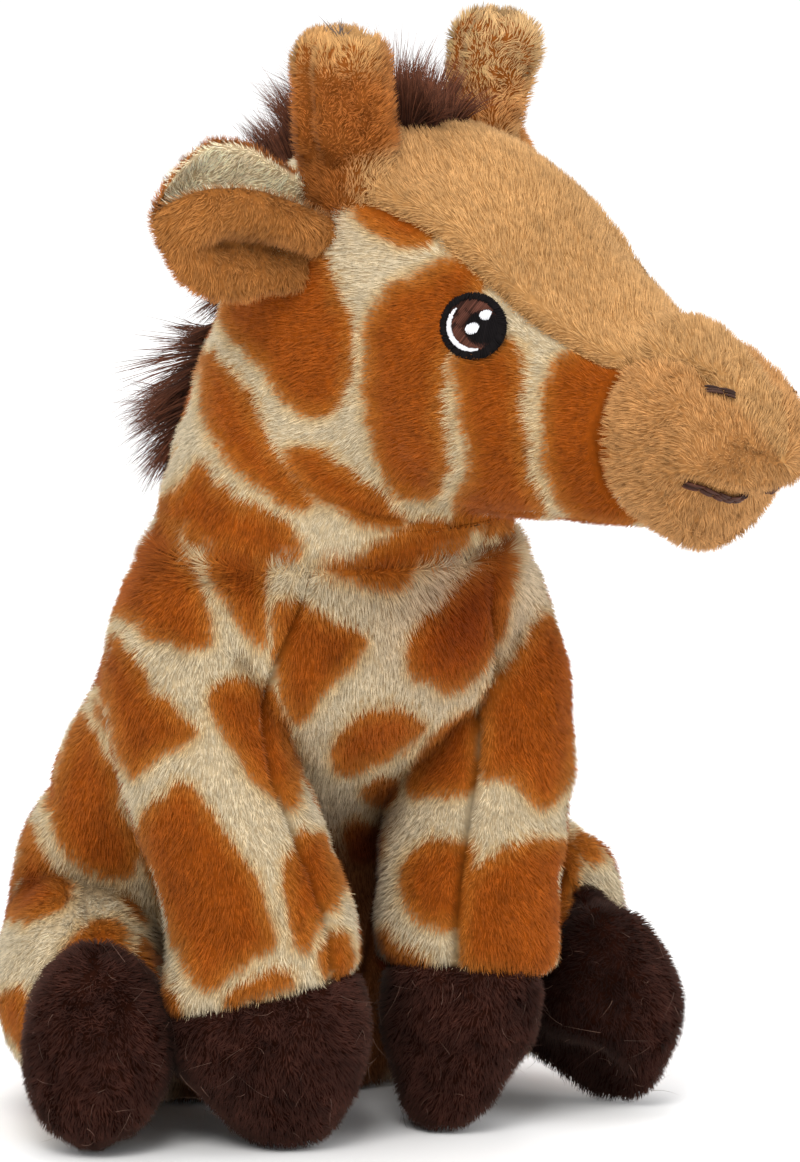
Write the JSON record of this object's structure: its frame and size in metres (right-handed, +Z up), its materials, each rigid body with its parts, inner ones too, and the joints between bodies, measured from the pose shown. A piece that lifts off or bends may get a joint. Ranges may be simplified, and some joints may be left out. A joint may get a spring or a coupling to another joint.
{
  "type": "plush giraffe",
  "caption": "Small seated plush giraffe with a patterned pile skin, turned head, stubby horns, cupped ears, a short mane, stuffed legs with dark feet and a tufted tail.",
  "frame": {"origin": "middle of the flat seat panel, on the surface the toy sits on", "axes": "+Z up, -Y to the toy's front, +X to the toy's own left"},
  "size_m": [0.1144, 0.1507, 0.1775],
  "materials": {
    "plush_patterned": "matte",
    "plush_tan": "matte",
    "plush_cream": "matte",
    "plush_dark": "matte",
    "fur_brown": "matte",
    "filling": "matte",
    "pouch": "matte",
    "thread_dark": "satin",
    "thread_seam": "matte"
  },
  "bodies": {
    "torso": {"body_side_left": "plush_patterned", "body_side_right": "plush_patterned", "belly_gusset": "plush_patterned", "seat_base_panel": "plush_patterned", "pellet_pouch": "pouch", "body_stuffing": "filling"},
    "neck": {"neck_closing_seam": "thread_seam"},
    "head": {"head_side_panel_left": "plush_patterned", "head_side_panel_right": "plush_patterned", "forehead_gusset": "plush_tan", "chin_gusset": "plush_patterned", "muzzle_cover": "plush_tan", "head_stuffing": "filling", "mane_strip": "fur_brown", "mouth_embroidery": "thread_dark", "eye_embroidery_right": "thread_dark", "eye_embroidery_left": "thread_dark", "nostril_embroidery_right": "thread_dark", "nostril_embroidery_left": "thread_dark"},
    "horn_right": {"horn_cover_right": "plush_tan", "horn_filling_right": "filling"},
    "ear_right": {"ear_outer_right": "plush_tan", "ear_lining_right": "plush_cream"},
    "front_leg_right": {"front_leg_right_outer_panel": "plush_patterned", "front_leg_right_inner_panel": "plush_patterned", "front_leg_right_foot_cover": "plush_dark", "front_leg_right_stuffing": "filling"},
    "hind_leg_right": {"hind_leg_right_outer_panel": "plush_patterned", "hind_leg_right_inner_panel": "plush_patterned", "hind_leg_right_foot_cover": "plush_dark", "hind_leg_right_stuffing": "filling"},
    "horn_left": {"horn_cover_left": "plush_tan", "horn_filling_left": "filling"},
    "ear_left": {"ear_outer_left": "plush_tan", "ear_lining_left": "plush_cream"},
    "front_leg_left": {"front_leg_left_outer_panel": "plush_patterned", "front_leg_left_inner_panel": "plush_patterned", "front_leg_left_foot_cover": "plush_dark", "front_leg_left_stuffing": "filling"},
    "hind_leg_left": {"hind_leg_left_outer_panel": "plush_patterned", "hind_leg_left_inner_panel": "plush_patterned", "hind_leg_left_foot_cover": "plush_dark", "hind_leg_left_stuffing": "filling"},
    "tail": {"tail_sleeve": "plush_patterned", "tail_tuft": "fur_brown"}
  },
  "joints": [
    {"name": "head_turn", "type": "hinge", "parent": "torso", "child": "neck", "pos_m": [0, -0.027, 0.092], "axis": [0, 0, 1], "range_deg": [-55, 20], "stiffness_Nm_per_rad": 0.5},
    {"name": "head_nod", "type": "hinge", "parent": "neck", "child": "head", "pos_m": [0, -0.027, 0.1], "axis": [0.866, 0.5, 0], "range_deg": [-12, 10], "stiffness_Nm_per_rad": 2},
    {"name": "front_leg_right_swing", "type": "hinge", "parent": "torso", "child": "front_leg_right", "pos_m": [-0.025, -0.031, 0.063], "axis": [-1, 0, 0], "range_deg": [0, 40], "stiffness_Nm_per_rad": 0.1},
    {"name": "hind_leg_right_spread", "type": "hinge", "parent": "torso", "child": "hind_leg_right", "pos_m": [-0.032, -0.0025, 0.021], "axis": [0, 0, -1], "range_deg": [0, 30], "stiffness_Nm_per_rad": 0.1},
    {"name": "ear_right_flop", "type": "hinge", "parent": "head", "child": "ear_right", "pos_m": [-0.01623, -0.04849, 0.1436], "axis": [-0.5, 0.866, 0], "range_deg": [-11, 18], "stiffness_Nm_per_rad": 0.008},
    {"name": "horn_right_bend", "type": "hinge", "parent": "head", "child": "horn_right", "pos_m": [-0.0082, -0.05079, 0.1546], "axis": [0.866, 0.5, 0], "range_deg": [-10, 10], "stiffness_Nm_per_rad": 0.02},
    {"name": "front_leg_left_swing", "type": "hinge", "parent": "torso", "child": "front_leg_left", "pos_m": [0.025, -0.031, 0.063], "axis": [-1, 0, 0], "range_deg": [0, 40], "stiffness_Nm_per_rad": 0.1},
    {"name": "hind_leg_left_spread", "type": "hinge", "parent": "torso", "child": "hind_leg_left", "pos_m": [0.032, -0.0025, 0.021], "axis": [0, 0, 1], "range_deg": [0, 30], "stiffness_Nm_per_rad": 0.1},
    {"name": "ear_left_flop", "type": "hinge", "parent": "head", "child": "ear_left", "pos_m": [0.02673, -0.02369, 0.1436], "axis": [0.5, -0.866, 0], "range_deg": [-11, 18], "stiffness_Nm_per_rad": 0.008},
    {"name": "horn_left_bend", "type": "hinge", "parent": "head", "child": "horn_left", "pos_m": [0.0247, -0.03179, 0.1546], "axis": [0.866, 0.5, 0], "range_deg": [-10, 10], "stiffness_Nm_per_rad": 0.02},
    {"name": "tail_lift", "type": "hinge", "parent": "torso", "child": "tail", "pos_m": [0, 0.0306, 0.036], "axis": [1, 0, 0], "range_deg": [0, 60], "stiffness_Nm_per_rad": 0.003}
  ]
}
